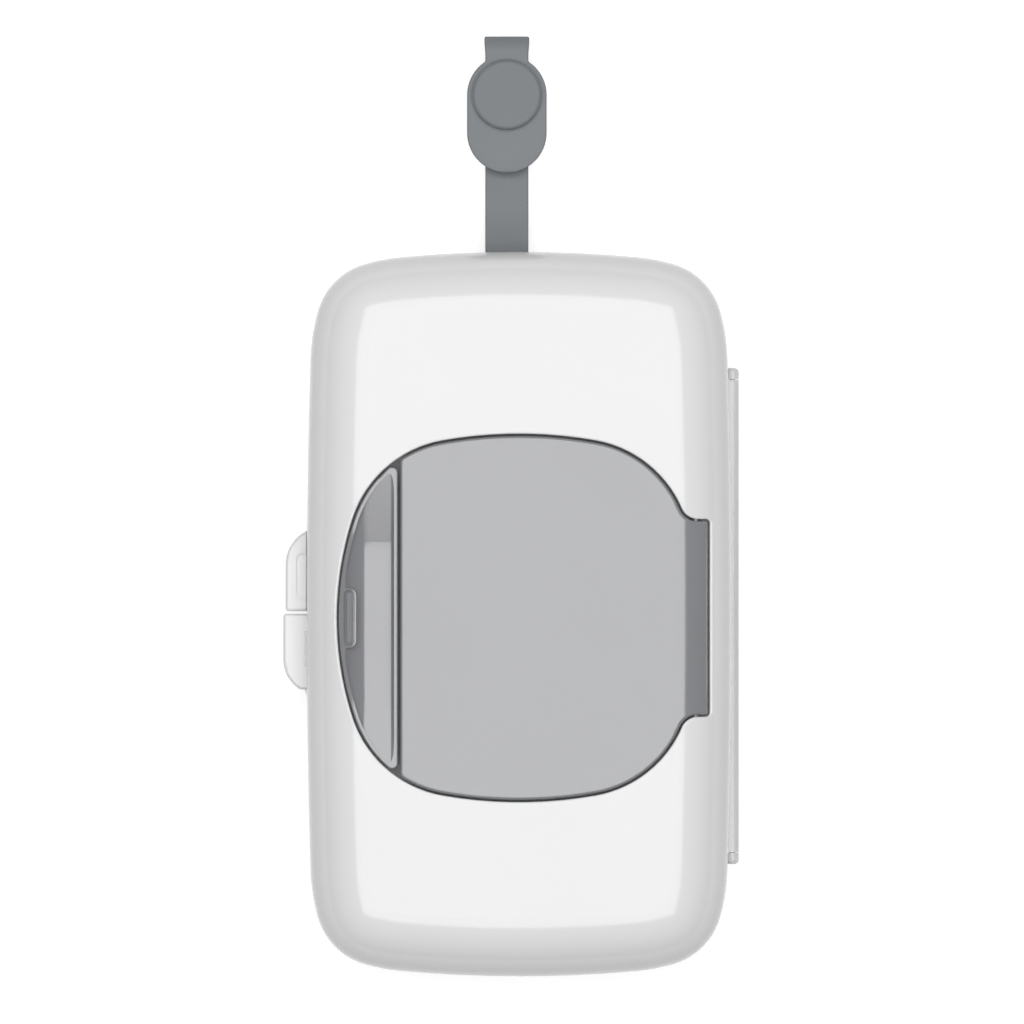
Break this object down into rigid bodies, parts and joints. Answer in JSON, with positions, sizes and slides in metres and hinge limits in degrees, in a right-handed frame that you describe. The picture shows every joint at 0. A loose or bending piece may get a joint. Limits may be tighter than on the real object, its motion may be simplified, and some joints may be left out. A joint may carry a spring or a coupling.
{
  "type": "travel wipes dispenser",
  "caption": "Slim white travel case for wet wipes with a smoke grey flip lid, a dished release button, a side hinge, opening tabs and a folded carrying strap with a snap.",
  "frame": {"origin": "centre of the flat back face, on the resting plane", "axes": "+Z from the back face to the front face, +Y along the case towards the strap, +X towards the case hinge"},
  "size_m": [0.1198, 0.2476, 0.048],
  "materials": {
    "shell": "smooth white, soft gloss",
    "smoke_panel": "smooth smoke grey, soft gloss",
    "well": "fine grained pale grey",
    "membrane": "soft matte",
    "seal": "soft matte",
    "strap_rubber": "fine matte silicone",
    "snap_grey": "satin grey",
    "pin": "drawn",
    "spring": "drawn wire"
  },
  "bodies": {
    "back": {"back_shell": "shell", "case_seal": "seal", "case_hinge_pin": "pin", "strap_anchor_pin": "pin"},
    "front": {"front_shell": "shell", "dispensing_well": "well", "port_diaphragm": "membrane", "port_ring": "well", "lid_hinge_pin": "pin", "lid_spring": "spring", "button_hinge_pin": "pin", "button_spring": "spring"},
    "lid": {"lid": "smoke_panel", "lid_seal": "seal"},
    "button": {"release_button": "smoke_panel"},
    "strap": {"strap": "strap_rubber", "snap_stud": "snap_grey", "snap_post": "snap_grey"},
    "flap": {"strap_flap": "strap_rubber", "snap_cap": "snap_grey", "snap_socket": "snap_grey"}
  },
  "joints": [
    {"name": "case_hinge", "type": "hinge", "parent": "back", "child": "front", "pos_m": [0.05615, 0, 0.02], "axis": [0, 1, 0], "range_deg": [0, 150]},
    {"name": "lid_hinge", "type": "hinge", "parent": "front", "child": "lid", "pos_m": [0.0462, 0, 0.044], "axis": [0, 1, 0], "range_deg": [0, 90]},
    {"name": "button_press", "type": "hinge", "parent": "front", "child": "button", "pos_m": [-0.0446, 0, 0.0435], "axis": [0, 1, 0], "range_deg": [0, 8], "stiffness_Nm_per_rad": 0.8, "deforming": ["button_spring"]},
    {"name": "strap_swing", "type": "hinge", "parent": "back", "child": "strap", "pos_m": [0, 0.0913, 0.0105], "axis": [1, 0, 0], "range_deg": [0, 50]},
    {"name": "flap_open", "type": "hinge", "parent": "strap", "child": "flap", "pos_m": [0, 0.148, 0.009], "axis": [-1, 0, 0], "range_deg": [0, 110]}
  ]
}
